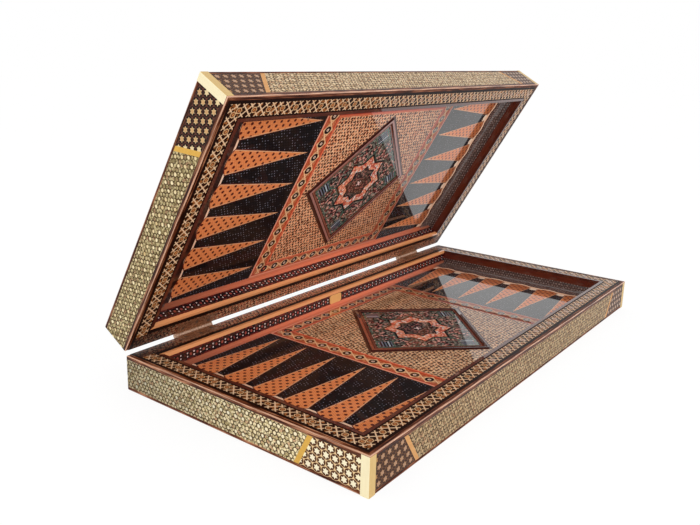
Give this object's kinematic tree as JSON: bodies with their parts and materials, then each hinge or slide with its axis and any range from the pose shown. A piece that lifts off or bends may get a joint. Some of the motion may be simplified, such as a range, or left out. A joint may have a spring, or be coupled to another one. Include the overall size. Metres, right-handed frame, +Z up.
{
  "type": "folding backgammon board",
  "caption": "Folding backgammon case with khatam inlay: two shallow trays joined by brass butt hinges, shown half open, with points, centre panels and medallions.",
  "frame": {"origin": "middle of the underside of the base half", "axes": "+X along the hinge, +Y from the free edge to the hinge, +Z up out of the base's tray"},
  "size_m": [0.5, 0.274, 0.261],
  "materials": {
    "case_wood": "clear gloss lacquer over red-brown wood",
    "core_board": "bare plywood",
    "light_squares": "clear gloss lacquer over light wood",
    "dark_squares": "clear gloss lacquer over dark wood",
    "ring_khatam": "lacquered khatam of rings in bone, brass and dark wood",
    "bead_wood": "clear gloss lacquer over a brown bead",
    "ebony": "clear gloss lacquer over ebony stringing",
    "fine_khatam": "lacquered fine khatam, olive-beige from a distance",
    "star_khatam": "lacquered khatam of six-pointed bone stars on dark wood",
    "yellow_wood": "clear gloss lacquer over yellow wood",
    "bone": "polished cream bone",
    "inner_wood": "clear gloss lacquer over red-brown wood",
    "dark_khatam": "lacquered dark khatam with small pale stars",
    "point_khatam": "lacquered orange wood with small dark dots",
    "ground_khatam": "lacquered near-black khatam with grey-blue specks",
    "orange_wood": "clear gloss lacquer over orange wood",
    "field_khatam": "lacquered tan khatam",
    "eye_border": "lacquered pink and red khatam border",
    "eye_ring": "lacquered dark rings",
    "frame_wood": "clear gloss lacquer over dark red-brown wood",
    "medallion_ground": "lacquered dark teal and maroon khatam",
    "medallion_star": "lacquered coral khatam",
    "hinge_brass": "antique brass, a little rubbed",
    "screw_steel": "aged plated steel"
  },
  "bodies": {
    "base": {"base_front_rail": "case_wood", "base_back_rail": "case_wood", "base_left_rail": "case_wood", "base_right_rail": "case_wood", "base_floor_board": "core_board", "base_outer_panel": "light_squares", "base_dark_squares": "dark_squares", "base_rim_khatam": "ring_khatam", "base_rim_bead": "bead_wood", "base_ebony_lines": "ebony", "base_wall_khatam": "fine_khatam", "base_star_panels": "star_khatam", "base_slant_strips": "yellow_wood", "base_corner_posts": "bone", "base_inner_wood": "inner_wood", "base_inner_khatam": "dark_khatam", "base_points": "point_khatam", "base_point_ground": "ground_khatam", "base_orange_strips": "orange_wood", "base_field": "field_khatam", "base_eye_borders": "eye_border", "base_eye_rings": "eye_ring", "base_medallion_frame": "frame_wood", "base_medallion_ground": "medallion_ground", "base_medallion_star": "medallion_star", "base_plaque": "bone", "base_hinge_screws": "screw_steel", "left_hinge_base_leaf": "hinge_brass", "left_hinge_pin": "hinge_brass", "right_hinge_base_leaf": "hinge_brass", "right_hinge_pin": "hinge_brass"},
    "lid": {"lid_front_rail": "case_wood", "lid_back_rail": "case_wood", "lid_left_rail": "case_wood", "lid_right_rail": "case_wood", "lid_floor_board": "core_board", "lid_outer_panel": "light_squares", "lid_dark_squares": "dark_squares", "lid_rim_khatam": "ring_khatam", "lid_rim_bead": "bead_wood", "lid_ebony_lines": "ebony", "lid_wall_khatam": "fine_khatam", "lid_star_panels": "star_khatam", "lid_slant_strips": "yellow_wood", "lid_corner_posts": "bone", "lid_inner_wood": "inner_wood", "lid_inner_khatam": "dark_khatam", "lid_points": "point_khatam", "lid_point_ground": "ground_khatam", "lid_orange_strips": "orange_wood", "lid_field": "field_khatam", "lid_eye_borders": "eye_border", "lid_eye_rings": "eye_ring", "lid_medallion_frame": "frame_wood", "lid_medallion_ground": "medallion_ground", "lid_medallion_star": "medallion_star", "lid_hinge_screws": "screw_steel", "left_hinge_lid_leaf": "hinge_brass", "right_hinge_lid_leaf": "hinge_brass"}
  },
  "joints": [
    {"name": "lid_hinge", "type": "hinge", "parent": "base", "child": "lid", "pos_m": [0, 0.1257, 0.0309], "axis": [-1, 0, 0], "range_deg": [-59.6, 120.4]}
  ]
}
